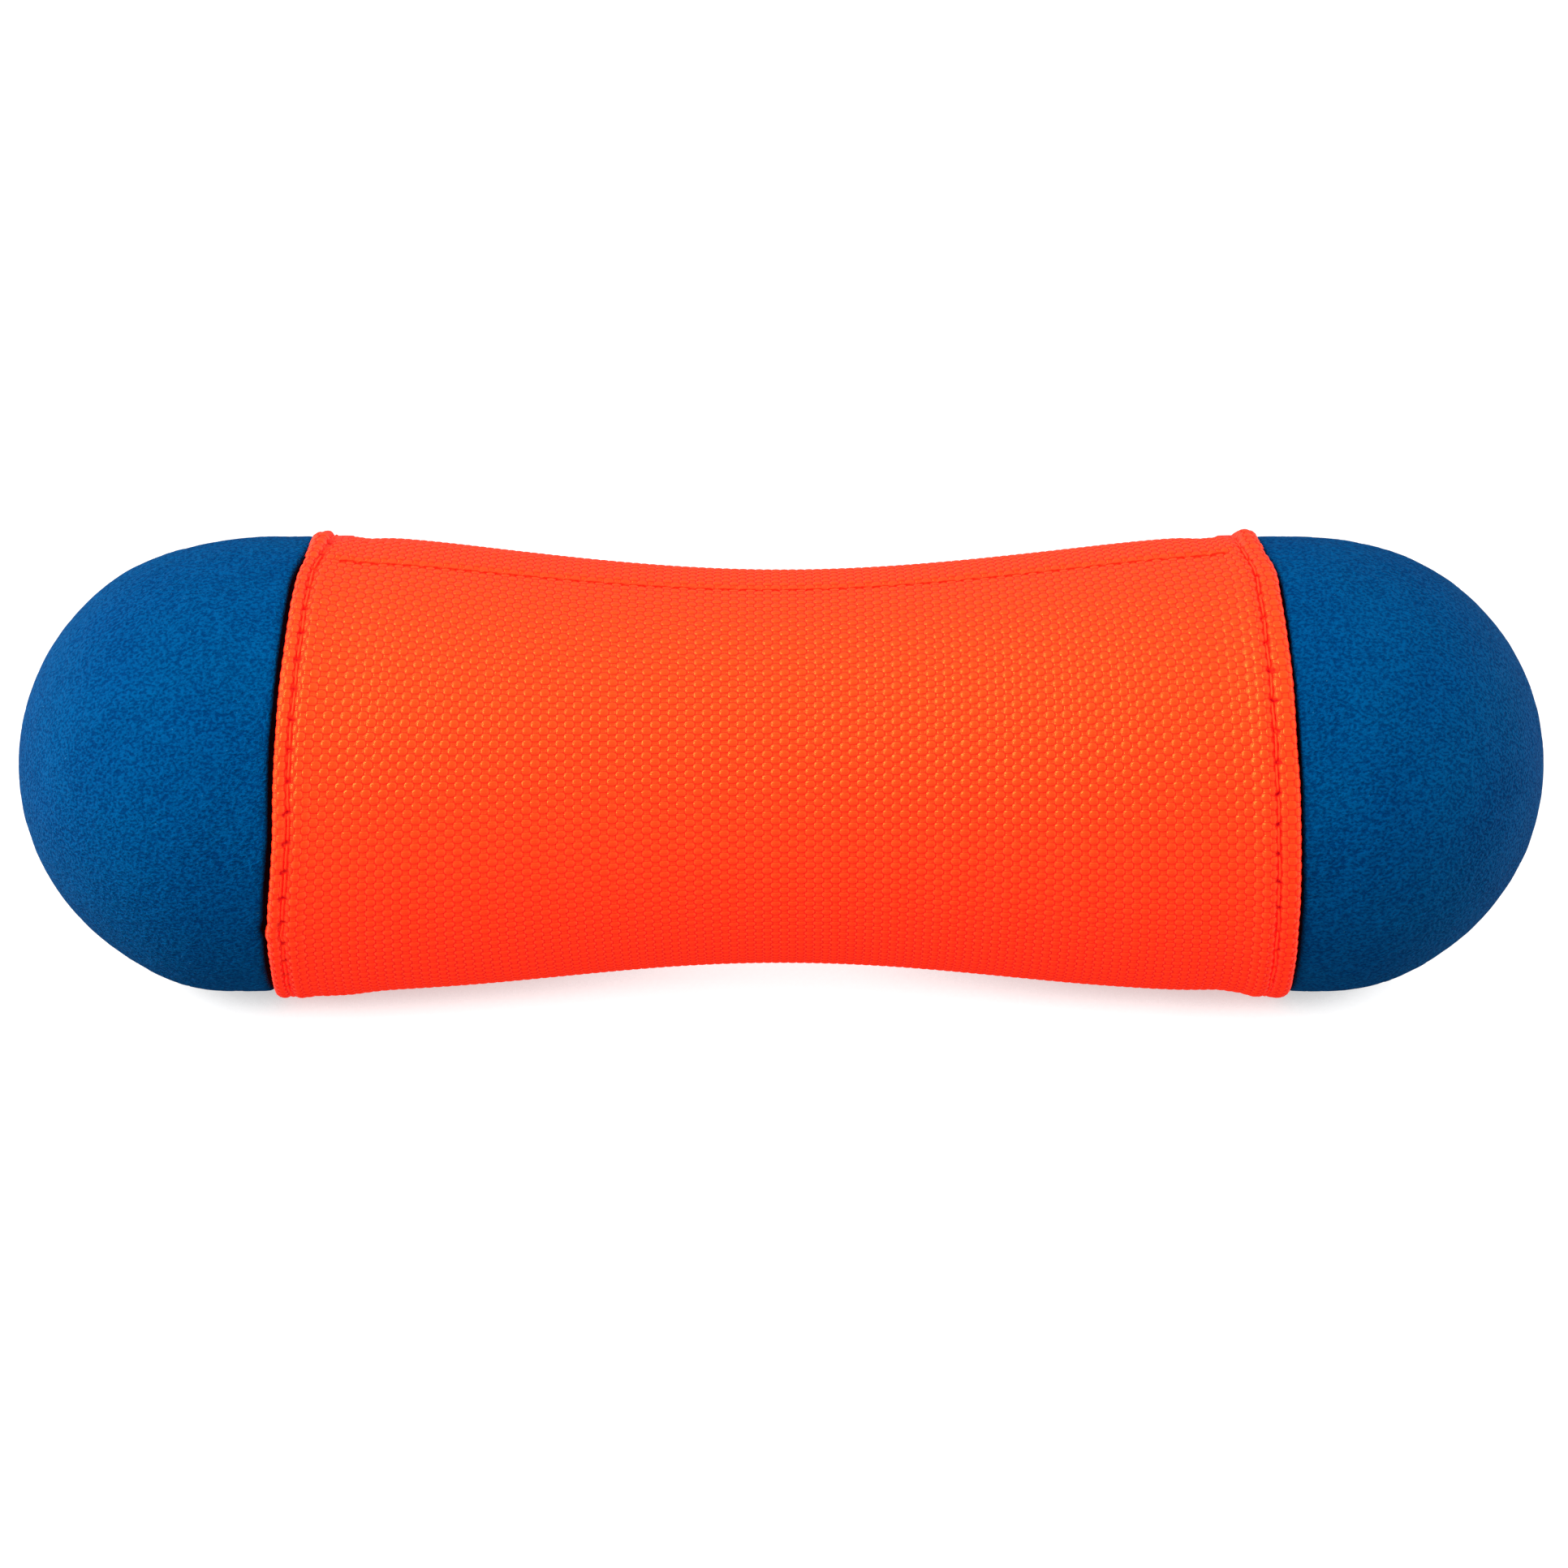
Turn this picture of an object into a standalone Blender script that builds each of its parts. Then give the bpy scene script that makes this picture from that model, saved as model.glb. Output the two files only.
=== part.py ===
"""A dog training bumper: a waisted foam core inside a sewn nylon sleeve.

Run it with: blender --background --python part.py

Units are metres. +X runs along the bumper and +Z is up. The bumper lies on z = 0, and
the origin is on that plane, under its middle. The sleeve's long seam runs along the top.
"""

import math

import bpy

NAME = "training_bumper"

# The whole bumper
LENGTH = 0.254
RADIUS = 0.0381  # of the foam's round ends

# The sleeve's outer surface
WAIST_RADIUS = 0.03285
SLEEVE_RADIUS = 0.0382  # where the waist's curve meets a hem
HEM_RADIUS = 0.0391
CLOTH = 0.0006  # thickness of one layer of the nylon
SLEEVE_INSIDE = SLEEVE_RADIUS - CLOTH  # the inner surface under the hems
HEM_WIDTH = 0.0105
HEM_RAMP = 0.0012  # length of the slope from the hem down to the single layer
HEM_ROUNDING = 0.0005
LAP_RISE = 0.0005  # how far the long seam's second layer stands up
LAP_ROW = 1  # the row of facet corners, counted back from the top, that it lifts

# Both hems: from the middle to the hem's edge, and how far the stitches are inside it
HEM_EDGE = {"left": 0.0811, "right": 0.0821}
STITCH_INSET = {"left": 0.0024, "right": 0.0034}
# The sleeve is cut shorter along its seam, so each hem's edge leans by this slope
LEAN = {"left": 0.081, "right": -0.058}
LEAN_STARTS = 0.030
LEAN_FULL = 0.070
LEAN_FADES = 0.090
LEAN_ENDS = 0.112

# Threads
THREAD_RADIUS = 0.0002
GROOVE_HALF = 0.0005  # half the width of the groove that a ring of stitches sinks into
GROOVE_CLOTH = 0.0004  # the cloth left under the hems' outer grooves
GAP = 0.0003  # left between pieces that touch
SEAM_HALF = 0.0695  # the long seam shows this far each side of the middle

# Where the hems' undersides lie flat on the floor
REST_FLAT = 0.0006
AXIS_Z = HEM_RADIUS - REST_FLAT

# Facets
TURN_STEPS = 48
END_STEPS = 8
BODY_STEPS = 12
THREAD_SIDES = 6
SEAM_STEPS = 18

COLORS = {
    "foam": ((0.0, 0.095, 0.300, 1.0), 0.55),
    "nylon": ((0.950, 0.080, 0.014, 1.0), 0.60),
    "thread": ((0.900, 0.110, 0.030, 1.0), 0.50),
}

parts = bpy.data.collections.new(NAME)
cutters = bpy.data.collections.new(NAME + "_cutters")


def clear_scene():
    for obj in list(bpy.data.objects):
        bpy.data.objects.remove(obj, do_unlink=True)
    for collection in (parts, cutters):
        bpy.context.scene.collection.children.link(collection)


def material(name, kind):
    color, roughness = COLORS[kind]
    made = bpy.data.materials.new(name)
    made.use_nodes = True
    shader = made.node_tree.nodes["Principled BSDF"]
    shader.inputs["Base Color"].default_value = color
    shader.inputs["Roughness"].default_value = roughness
    shader.inputs["Metallic"].default_value = 0.0
    return made


def place(obj, collection):
    """Moves an object into one of the two collections and out of any other."""
    for old in list(obj.users_collection):
        old.objects.unlink(obj)
    collection.objects.link(obj)


def smoothstep(value, start, end):
    t = min(1.0, max(0.0, (value - start) / (end - start)))
    return t * t * (3.0 - 2.0 * t)


# The outline


def body_radius(x):
    """The radius of the sleeve's outer surface between the hems."""
    reach = HEM_EDGE["right"] if x > 0 else HEM_EDGE["left"]
    swell = 0.5 - 0.5 * math.cos(math.pi * min(1.0, abs(x) / reach))
    return WAIST_RADIUS + (SLEEVE_RADIUS - WAIST_RADIUS) * swell


def body_positions():
    """Where the body's outline has its points, from the right hem to the left one."""
    right = HEM_EDGE["right"] - HEM_WIDTH - HEM_RAMP
    left = -(HEM_EDGE["left"] - HEM_WIDTH - HEM_RAMP)
    return [right + (left - right) * i / BODY_STEPS for i in range(BODY_STEPS + 1)]


def groove(x, top, depth):
    """Four points of a ring groove centred on x, from its right rim to its left rim."""
    return [
        (top, x + GROOVE_HALF),
        (top - depth, x + GROOVE_HALF),
        (top - depth, x - GROOVE_HALF),
        (top, x - GROOVE_HALF),
    ]


def mirrored(points):
    return [(radius, -x) for radius, x in reversed(points)]


def hem_outline(side):
    """The outer side of the right-hand hem, from its edge to the single layer."""
    edge = HEM_EDGE[side]
    inner = edge - HEM_WIDTH
    depth = HEM_RADIUS - SLEEVE_INSIDE - GROOVE_CLOTH
    stitch = edge - STITCH_INSET[side]
    return [
        (HEM_RADIUS - HEM_ROUNDING, edge),
        (HEM_RADIUS, edge - HEM_ROUNDING),
        *groove(stitch, HEM_RADIUS, depth),
        (HEM_RADIUS, inner),
    ]


def sleeve_profile():
    """The sleeve's cut face: its outer side from right to left, then its inner side."""
    body = [(body_radius(x), x) for x in body_positions()]
    outer = hem_outline("right") + body + mirrored(hem_outline("left"))
    inner = [(SLEEVE_INSIDE, -HEM_EDGE["left"])]
    inner += [(radius - CLOTH, x) for radius, x in reversed(body)]
    inner += [(SLEEVE_INSIDE, HEM_EDGE["right"])]
    return outer + inner


def end_outline(side):
    """The foam's right-hand end: the round end, the shoulder and the hem's seat."""
    centre = LENGTH / 2 - RADIUS
    seat = SLEEVE_INSIDE - GAP
    shoulder = HEM_EDGE[side] + 2 * GAP
    stitch = HEM_EDGE[side] - STITCH_INSET[side]
    turns = [0.5 * math.pi * i / END_STEPS for i in range(END_STEPS + 1)]
    points = [(RADIUS * math.sin(a), centre + RADIUS * math.cos(a)) for a in turns]
    points += [(RADIUS, shoulder + 2 * GAP), (RADIUS - GAP, shoulder)]
    points += [(seat, shoulder)]
    points += groove(stitch, seat, 2 * THREAD_RADIUS + GAP)
    return points


def core_profile():
    body = [(body_radius(x) - CLOTH - GAP, x) for x in body_positions()]
    return end_outline("right") + body + mirrored(end_outline("left"))


# Shapes


def turned(name, profile, closed):
    """Turns a profile of (radius, x) points about the bumper's axis."""
    count = len(profile)
    edges = [(i, i + 1) for i in range(count - 1)]
    if closed:
        edges.append((count - 1, 0))
    mesh = bpy.data.meshes.new(name)
    mesh.from_pydata([(radius, 0.0, x) for radius, x in profile], edges, [])
    obj = bpy.data.objects.new(name, mesh)
    obj.rotation_euler = (0.0, math.pi / 2, 0.0)
    obj.location = (0.0, 0.0, AXIS_Z)
    place(obj, parts)
    screw = obj.modifiers.new("turn", "SCREW")
    screw.axis = "Z"
    screw.steps = TURN_STEPS
    screw.render_steps = TURN_STEPS
    screw.use_merge_vertices = True
    screw.merge_threshold = 0.00001
    return obj


def ring(name, radius, x):
    """A ring of thread about the bumper's axis."""
    bpy.ops.mesh.primitive_torus_add(
        major_radius=radius,
        minor_radius=THREAD_RADIUS,
        major_segments=TURN_STEPS,
        minor_segments=THREAD_SIDES,
        location=(x, 0.0, AXIS_Z),
        rotation=(0.0, math.pi / 2, 0.0),
    )
    obj = bpy.context.object
    obj.name = name
    place(obj, parts)
    return obj


def along_seam(name, offset, radius, half_length, collection):
    """A round strand along the top, at an offset from the sleeve's outer surface."""
    curve = bpy.data.curves.new(name, "CURVE")
    curve.dimensions = "3D"
    curve.bevel_depth = radius
    curve.bevel_resolution = 1
    curve.use_fill_caps = True
    spline = curve.splines.new("POLY")
    spline.points.add(SEAM_STEPS)
    for i, point in enumerate(spline.points):
        x = half_length * (2.0 * i / SEAM_STEPS - 1.0)
        point.co = (x, 0.0, AXIS_Z + body_radius(x) + offset, 1.0)
    obj = bpy.data.objects.new(name, curve)
    place(obj, collection)
    return obj


def apply_all(obj):
    """Turns an object into a plain mesh in world space, with no modifiers."""
    name, collection = obj.name, obj.users_collection[0]
    bpy.context.view_layer.update()
    depsgraph = bpy.context.evaluated_depsgraph_get()
    mesh = bpy.data.meshes.new_from_object(obj.evaluated_get(depsgraph))
    mesh.transform(obj.matrix_world)
    bpy.data.objects.remove(obj, do_unlink=True)
    mesh.name = name
    made = bpy.data.objects.new(name, mesh)
    place(made, collection)
    weld(made)
    return made


def weld(obj):
    """Joins a curve's loose caps to its wall."""
    modifier = obj.modifiers.new("weld", "WELD")
    modifier.merge_threshold = 0.00001


def lean_slope(x):
    """How much a ring at x shifts along the bumper for each metre above its axis."""
    slope = LEAN["right"] if x > 0 else LEAN["left"]
    near = smoothstep(abs(x), LEAN_STARTS, LEAN_FULL)
    far = smoothstep(abs(x), LEAN_FADES, LEAN_ENDS)
    return slope * near * (1.0 - far)


def lean(obj):
    """Tips the hems, so that the sleeve is shorter along its seam."""
    for vertex in obj.data.vertices:
        height = vertex.co.z - AXIS_Z
        vertex.co.x += lean_slope(vertex.co.x) * height


def raise_lap(obj):
    """Lifts the outer surface behind the seam, where the cloth is two layers thick."""
    step = 2.0 * math.pi / TURN_STEPS
    for vertex in obj.data.vertices:
        height = vertex.co.z - AXIS_Z
        radius = math.hypot(vertex.co.y, height)
        row = round(math.atan2(vertex.co.y, height) / step)
        outside = radius > body_radius(vertex.co.x) - CLOTH / 2
        if row == LAP_ROW and outside and abs(vertex.co.x) < SEAM_HALF:
            vertex.co.y += LAP_RISE * vertex.co.y / radius
            vertex.co.z += LAP_RISE * height / radius


def subtract(obj, cutter):
    cutter.display_type = "WIRE"
    cutter.hide_render = True
    modifier = obj.modifiers.new("cut_" + cutter.name, "BOOLEAN")
    modifier.operation = "DIFFERENCE"
    modifier.solver = "EXACT"
    modifier.object = cutter


def finish(obj, kind):
    obj.data.materials.clear()
    obj.data.materials.append(material(obj.name, kind))
    obj.data.shade_smooth()
    obj.data.set_sharp_from_angle(angle=math.radians(30.0))


# The pieces


def build_foam_core():
    core = apply_all(turned("foam_core", core_profile(), closed=False))
    lean(core)
    offset = -CLOTH - GAP - THREAD_RADIUS
    groove_half = SEAM_HALF + GAP
    cutter = along_seam("seam_groove", offset, GROOVE_HALF, groove_half, cutters)
    cutter = apply_all(cutter)
    subtract(core, cutter)
    finish(core, "foam")


def build_floor():
    """The floor, which flattens the undersides of the hems and of their stitches."""
    bpy.ops.mesh.primitive_cube_add(size=LENGTH, location=(0.0, 0.0, -LENGTH / 2))
    floor = bpy.context.object
    floor.name = "floor"
    place(floor, cutters)
    return floor


def build_sleeve(floor):
    sleeve = apply_all(turned("sleeve", sleeve_profile(), closed=True))
    raise_lap(sleeve)
    lean(sleeve)
    subtract(sleeve, floor)
    finish(sleeve, "nylon")


def build_hem_threads(side, sign, floor):
    """The two threads of one hem's lockstitch: one outside the cloth, one inside."""
    x = sign * (HEM_EDGE[side] - STITCH_INSET[side])
    radii = {
        "needle": SLEEVE_INSIDE + GROOVE_CLOTH + GAP + THREAD_RADIUS,
        "bobbin": SLEEVE_INSIDE - GAP - THREAD_RADIUS,
    }
    for thread, radius in radii.items():
        made = apply_all(ring(f"{side}_hem_{thread}_thread", radius, x))
        lean(made)
        subtract(made, floor)
        finish(made, "thread")


def build_seam_threads():
    offsets = {
        "needle": GAP + THREAD_RADIUS,
        "bobbin": -CLOTH - GAP - THREAD_RADIUS,
    }
    for thread, offset in offsets.items():
        name = f"long_seam_{thread}_thread"
        made = apply_all(along_seam(name, offset, THREAD_RADIUS, SEAM_HALF, parts))
        lean(made)
        finish(made, "thread")


def main():
    clear_scene()
    floor = build_floor()
    build_foam_core()
    build_sleeve(floor)
    build_hem_threads("left", -1.0, floor)
    build_hem_threads("right", 1.0, floor)
    build_seam_threads()


main()
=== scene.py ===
"""Looks for the training bumper: a grained foam body in a woven and stitched sleeve.

Units are metres, in the CAD frame: +X runs along the bumper, +Z is up, and the bumper
lies on z = 0. Angles about the axis start at the top and turn towards +Y. Tables with the
keys -1 and 1 hold a value for the left end and one for the right end.
"""

import itertools
import math

import bmesh
import bpy
import numpy as np
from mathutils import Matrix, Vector


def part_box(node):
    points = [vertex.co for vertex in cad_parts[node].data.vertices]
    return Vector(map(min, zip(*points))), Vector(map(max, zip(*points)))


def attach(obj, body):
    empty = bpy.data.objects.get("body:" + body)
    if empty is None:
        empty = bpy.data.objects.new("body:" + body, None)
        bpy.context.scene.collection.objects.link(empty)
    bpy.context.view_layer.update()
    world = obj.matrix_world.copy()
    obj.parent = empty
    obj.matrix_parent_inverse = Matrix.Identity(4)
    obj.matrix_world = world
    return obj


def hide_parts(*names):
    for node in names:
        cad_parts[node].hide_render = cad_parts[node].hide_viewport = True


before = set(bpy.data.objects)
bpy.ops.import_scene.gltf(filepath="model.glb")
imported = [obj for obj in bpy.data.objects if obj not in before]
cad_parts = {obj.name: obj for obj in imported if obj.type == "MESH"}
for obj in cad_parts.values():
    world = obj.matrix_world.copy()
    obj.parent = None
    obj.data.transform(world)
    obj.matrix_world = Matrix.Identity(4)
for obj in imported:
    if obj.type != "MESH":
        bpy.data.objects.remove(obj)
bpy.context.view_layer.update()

MM = 0.001
SIDE_NAMES = {-1: "left", 1: "right"}
THREAD_NAMES = {False: "needle", True: "bobbin"}

# The CAD's own shape
FOAM_LOW, FOAM_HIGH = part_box("foam_core")
LENGTH = FOAM_HIGH.x - FOAM_LOW.x
RADIUS = (FOAM_HIGH.z - FOAM_LOW.z) / 2
AXIS_Z = (FOAM_HIGH.z + FOAM_LOW.z) / 2
END_CENTRE = LENGTH / 2 - RADIUS
WAIST_RADIUS = 32.85 * MM
SLEEVE_RADIUS = 38.2 * MM
HEM_RADIUS = 39.1 * MM
HEM_EDGE = {-1: 81.1 * MM, 1: 82.1 * MM}
STITCH_INSET = {-1: 2.4 * MM, 1: 3.4 * MM}
LEAN = {-1: 0.081, 1: -0.058}
LEAN_STARTS = (30 * MM, 70 * MM)
LEAN_FADES = (90 * MM, 112 * MM)

# The waist sags a little, and fades to no sag between these places
WAIST_SAG = 0.45 * MM
SAG_FADES = (45 * MM, 80 * MM)

# Behind the top the hems are tucked in. Where, in degrees from the top, and how far along
TUCK = 1.7 * MM
TUCK_STARTS = (-16, 8)
TUCK_FADES = {-1: (14, 66), 1: (50, 100)}
TUCK_BEGINS = (71 * MM, 78 * MM)
TUCK_ENDS = (85 * MM, 105 * MM)
# Two small flaws of the left hem's edge: how deep, and the place and width in degrees
LEFT_FLAWS = ((0.6 * MM, -83, 14), (-0.35 * MM, -110, 1.8))

# The hems' ears, where the long seam's layers run under them. A pair is the centre and the
# width of a hump: in from the hem's edge, or across, from the long seam's stitches
EAR_RISE = 0.65 * MM
EAR_ACROSS = (8.5 * MM, 4.5 * MM)
EAR_END = {-1: 1.9 * MM, 1: 2.6 * MM}
EAR_EDGE = 0.7 * MM
EAR_SLOPE = {-1: 0.1, 1: 0.9}
EAR_SLOPE_AT = (-0.4 * MM, 1.6 * MM)
# The hollows beside an ear and further in
HOLLOW = 1.15 * MM
HOLLOW_AT = (2.0 * MM, 1.8 * MM)
BEHIND_EAR = {-1: 0.45 * MM, 1: 0.6 * MM}
BEHIND_EAR_AT = (8.0 * MM, 3.8 * MM)
HOLLOW_ACROSS = (17 * MM, 14 * MM)
# The sleeve's bulge low on the front, next to a hem
LOW_BULGE = {-1: 0.65 * MM, 1: -0.3 * MM}
LOW_BULGE_AT = (10.5 * MM, 5.0 * MM)
LOW_BULGE_ACROSS = (-102 * MM, 17 * MM)

# The weave: yarns along the bumper, and yarns around it
AXIAL_YARNS = 212
RING_PITCH = 1.37 * MM
SAMPLES_U = (0.04, 0.22, 0.50, 0.78, 0.96)
SAMPLES_V = (0.05, 0.35, 0.65, 0.95)
BEAD_GROWTH = (0.10, 0.13)
CLOTH_BACK = 0.5 * MM

# The long seam, at the top
SEAM_HALF = 75.0 * MM
SEAM_STITCH = 3.6 * MM
SEAM_ANGLE = math.radians(-3.0)
SEAM_TWIST = math.radians(2.0) / (70 * MM)
LAP_WIDTH = 9.5 * MM
LAP_RISE = 0.32 * MM

# The stitches: two-ply thread, whose plies turn once in this length
THREAD_RADIUS = 0.18 * MM
THREAD_SIDES = 8
THREAD_STEPS = 19
PLY_TURN = 1.1 * MM
CAP_QUADS = np.array([[0, 1, 2, 3], [0, 3, 4, 7], [4, 5, 6, 7]])
HEM_STITCHES = 49
HEM_STEP = 2.0 * math.pi / HEM_STITCHES
FIRST_HOLE = 0.3 * HEM_STEP

# The second row of stitches: from this angle, so many holes
BACKTACK_SHIFT = 0.6 * MM
BACKTACKS = {-1: (math.radians(-101.0), 5), 1: (math.radians(-64.0), 4)}

# The foam: the gap to the cloth's edge, the mesh, and the way its creases run
GROOVE = {-1: 0.85 * MM, 1: 0.45 * MM}
FOAM_SIDES = 840
FOAM_RING = 0.28 * MM
HIDDEN_RINGS = 34
GRAIN_ALONG = np.array([0.80, 0.0, 0.60])

# Seeds of the noises
HEM_SEED = 5
WARP_SEEDS = (11, 12, 13)
FOLD_SEEDS = (21, 22)
PATCH_SEED = 31
SWELL_SEEDS = (41, 42)

# The lamps: name, place, size and power. All of them face the bumper
LAMPS = (
    ("top", (0.0, -0.15, 1.1), (1.4, 0.9), 1.0),
    ("high left", (-0.66, -0.22, 0.98), (0.14, 0.60), 2.4),
    ("left", (-0.78, -0.70, 0.72), (0.12, 0.90), 6.6),
)
# The walls' light: everywhere, more at both ends, along x, along z, and the least
WALL_BASE, WALL_ENDS, WALL_X, WALL_Z, WALL_LEAST = 0.17, 1.48, -0.06, 0.24, 0.02

# The floor: its contact shadow reaches this far, and its light goes from dark to full as
# the open part of the sky goes from none to this share
FLOOR_SIDE = 20.0
SHADOW_REACH = 14 * MM
OPEN_SKY = 0.27
FLOOR_LIGHT = (0.45, 1.02)

# The camera, with its shift in pixels of the photo
IMAGE_SIDE = 1932
CAMERA_ELEVATION = math.radians(25.0)
CAMERA_DISTANCE = 0.600
CAMERA_SENSOR = 36.0
CAMERA_LENS = 82.14
CAMERA_SHIFT = (3.5, -25.0)


# Small tools


def smooth(value, start, end):
    """0 before start, 1 after end, and an S curve in between, for numbers or arrays."""
    t = np.clip((value - start) / (end - start), 0.0, 1.0)
    return t * t * (3.0 - 2.0 * t)


def hump(value, centre, width):
    return np.exp(-(((value - centre) / width) ** 2))


def turned(angle):
    """The same angle, from half a turn before the top to half a turn after it."""
    return (angle + math.pi) % (2.0 * math.pi) - math.pi


def noise(points, seed):
    """Smooth noise from -1 to 1 at each point, with features about one unit across."""
    cell = np.floor(points).astype(np.int64)
    t = points - cell
    t = t * t * t * (t * (t * 6.0 - 15.0) + 10.0)
    total = np.zeros(points.shape[:-1])
    for corner in itertools.product((0, 1), repeat=3):
        at = cell + np.array(corner)
        key = at[..., 0] * 73856093 ^ at[..., 1] * 19349663 ^ at[..., 2] * 83492791
        key = (key + seed * 2654435761) & 0xFFFFFFFF
        key = ((key ^ (key >> 15)) * 2246822519) & 0xFFFFFFFF
        key = ((key ^ (key >> 13)) * 3266489917) & 0xFFFFFFFF
        value = (key >> 8) / float(1 << 23) - 1.0
        weight = np.prod(np.where(np.array(corner) == 1, t, 1.0 - t), axis=-1)
        total += weight * value
    return total


def chaikin(points, rounds):
    """Rounds off a polyline's corners, and keeps its two ends."""
    for _ in range(rounds):
        a, b = points[:-1], points[1:]
        cut = np.stack([0.75 * a + 0.25 * b, 0.25 * a + 0.75 * b], axis=1)
        points = np.concatenate([points[:1], cut.reshape(-1, 2), points[-1:]])
    return points


def arc_lengths(points):
    """How far along a polyline each of its points is."""
    steps = np.linalg.norm(np.diff(points, axis=0), axis=1)
    return np.concatenate([[0.0], np.cumsum(steps)])


def follow(profile, at):
    """The x, the radius and the unit slope of a cut line, at lengths along it."""
    length = arc_lengths(profile)
    x = np.interp(at, length, profile[:, 0])
    radius = np.interp(at, length, profile[:, 1])
    slope = np.stack([np.gradient(x, at), np.gradient(radius, at)], axis=1)
    return x, radius, slope / np.linalg.norm(slope, axis=1)[:, None]


def lean_slope(x):
    slope = np.where(x > 0, LEAN[1], LEAN[-1])
    near = smooth(np.abs(x), *LEAN_STARTS)
    far = smooth(np.abs(x), *LEAN_FADES)
    return slope * near * (1.0 - far)


def wrapped(x, radius, angle):
    """Points at a place along the axis, a radius and an angle.

    They lean as the CAD leans, sag at the waist, and are tucked in at the hems.
    """
    y = radius * np.sin(angle)
    z = radius * np.cos(angle)
    sag = WAIST_SAG * (1.0 - smooth(np.abs(x), *SAG_FADES))
    turn = turned(angle)
    fade = [1.0 - smooth(turn, *np.radians(TUCK_FADES[side])) for side in (-1, 1)]
    tuck = TUCK * smooth(turn, *np.radians(TUCK_STARTS)) * np.where(x < 0, *fade)
    for depth, centre, width in LEFT_FLAWS:
        flaw = depth * hump(turn, math.radians(centre), math.radians(width))
        tuck = tuck + flaw * (x < 0)
    tuck = tuck * smooth(np.abs(x), *TUCK_BEGINS) * (1.0 - smooth(np.abs(x), *TUCK_ENDS))
    x = x + lean_slope(x) * z - np.sign(x) * tuck
    return np.stack([x, y, AXIS_Z + z - sag], axis=-1)


def rested(points):
    """Flattens what would be under the floor."""
    soft = 0.12 * MM
    z = points[..., 2]
    points[..., 2] = 0.5 * (z + np.sqrt(z * z + soft * soft))
    return points


def make_mesh(name, points, quads, uvs=None, attributes=()):
    """A smooth mesh from arrays: points, quads, a UV for each quad's corner."""
    mesh = bpy.data.meshes.new(name)
    mesh.vertices.add(len(points))
    mesh.vertices.foreach_set("co", points.astype(np.float32).ravel())
    mesh.loops.add(quads.size)
    mesh.loops.foreach_set("vertex_index", quads.astype(np.int32).ravel())
    mesh.polygons.add(len(quads))
    starts = np.arange(len(quads), dtype=np.int32) * 4
    mesh.polygons.foreach_set("loop_start", starts)
    mesh.update(calc_edges=True)
    if uvs is not None:
        layer = mesh.uv_layers.new(name="weave")
        layer.data.foreach_set("uv", uvs.astype(np.float32).ravel())
    for label, values in attributes:
        layer = mesh.attributes.new(label, "FLOAT", "POINT")
        layer.data.foreach_set("value", values.astype(np.float32).ravel())
    mesh.shade_smooth()
    mesh.validate()
    obj = bpy.data.objects.new(name, mesh)
    bpy.context.scene.collection.objects.link(obj)
    return obj


def ring_quads(rings, sides):
    """The quads of a tube of rings, each with so many sides."""
    i, j = np.meshgrid(np.arange(rings - 1), np.arange(sides), indexing="ij")
    k = (j + 1) % sides
    corners = [i * sides + j, (i + 1) * sides + j, (i + 1) * sides + k, i * sides + k]
    return np.stack(corners, axis=-1).reshape(-1, 4)


# Materials


class Nodes:
    """Short ways to add nodes to a new material or world."""

    def __init__(self, owner):
        self.owner = owner
        owner.use_nodes = True
        self.tree = owner.node_tree

    def put(self, value, socket):
        if hasattr(value, "is_linked"):
            self.tree.links.new(value, socket)
        else:
            socket.default_value = value

    def add(self, kind, settings=(), **inputs):
        node = self.tree.nodes.new(kind)
        for key, value in dict(settings).items():
            setattr(node, key, value)
        for key, value in inputs.items():
            self.put(value, node.inputs[key])
        return node

    def math(self, operation, a, b=0.0):
        node = self.tree.nodes.new("ShaderNodeMath")
        node.operation = operation
        self.put(a, node.inputs[0])
        self.put(b, node.inputs[1])
        return node.outputs[0]

    def ramp(self, value, low, high, to_low=0.0, to_high=1.0):
        node = self.tree.nodes.new("ShaderNodeMapRange")
        node.interpolation_type = "SMOOTHSTEP"
        for index, item in enumerate((value, low, high, to_low, to_high)):
            self.put(item, node.inputs[index])
        return node.outputs[0]

    def mix(self, factor, a, b):
        node = self.tree.nodes.new("ShaderNodeMix")
        node.data_type = "RGBA"
        self.put(factor, node.inputs[0])
        self.put(a, node.inputs[6])
        self.put(b, node.inputs[7])
        return node.outputs[2]

    def noise(self, scale, detail=2.0, vector=None, roughness=0.5):
        node = self.tree.nodes.new("ShaderNodeTexNoise")
        node.inputs["Scale"].default_value = scale
        node.inputs["Detail"].default_value = detail
        node.inputs["Roughness"].default_value = roughness
        if vector is None:
            vector = self.place()
        self.put(vector, node.inputs["Vector"])
        return node.outputs[0]

    def place(self):
        return self.tree.nodes.new("ShaderNodeTexCoord").outputs["Object"]

    def split(self, vector):
        node = self.tree.nodes.new("ShaderNodeSeparateXYZ")
        self.put(vector, node.inputs[0])
        return node.outputs

    def attribute(self, name):
        node = self.add("ShaderNodeAttribute", {"attribute_name": name})
        return node.outputs["Fac"]

    def bump(self, height, distance, strength=1.0, normal=None):
        node = self.tree.nodes.new("ShaderNodeBump")
        node.inputs["Strength"].default_value = strength
        node.inputs["Distance"].default_value = distance
        self.put(height, node.inputs["Height"])
        if normal is not None:
            self.put(normal, node.inputs["Normal"])
        return node.outputs[0]

    def finish(self, **inputs):
        shader = self.tree.nodes["Principled BSDF"]
        for key, value in inputs.items():
            self.put(value, shader.inputs[key.replace("_", " ")])
        return self.owner


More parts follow.
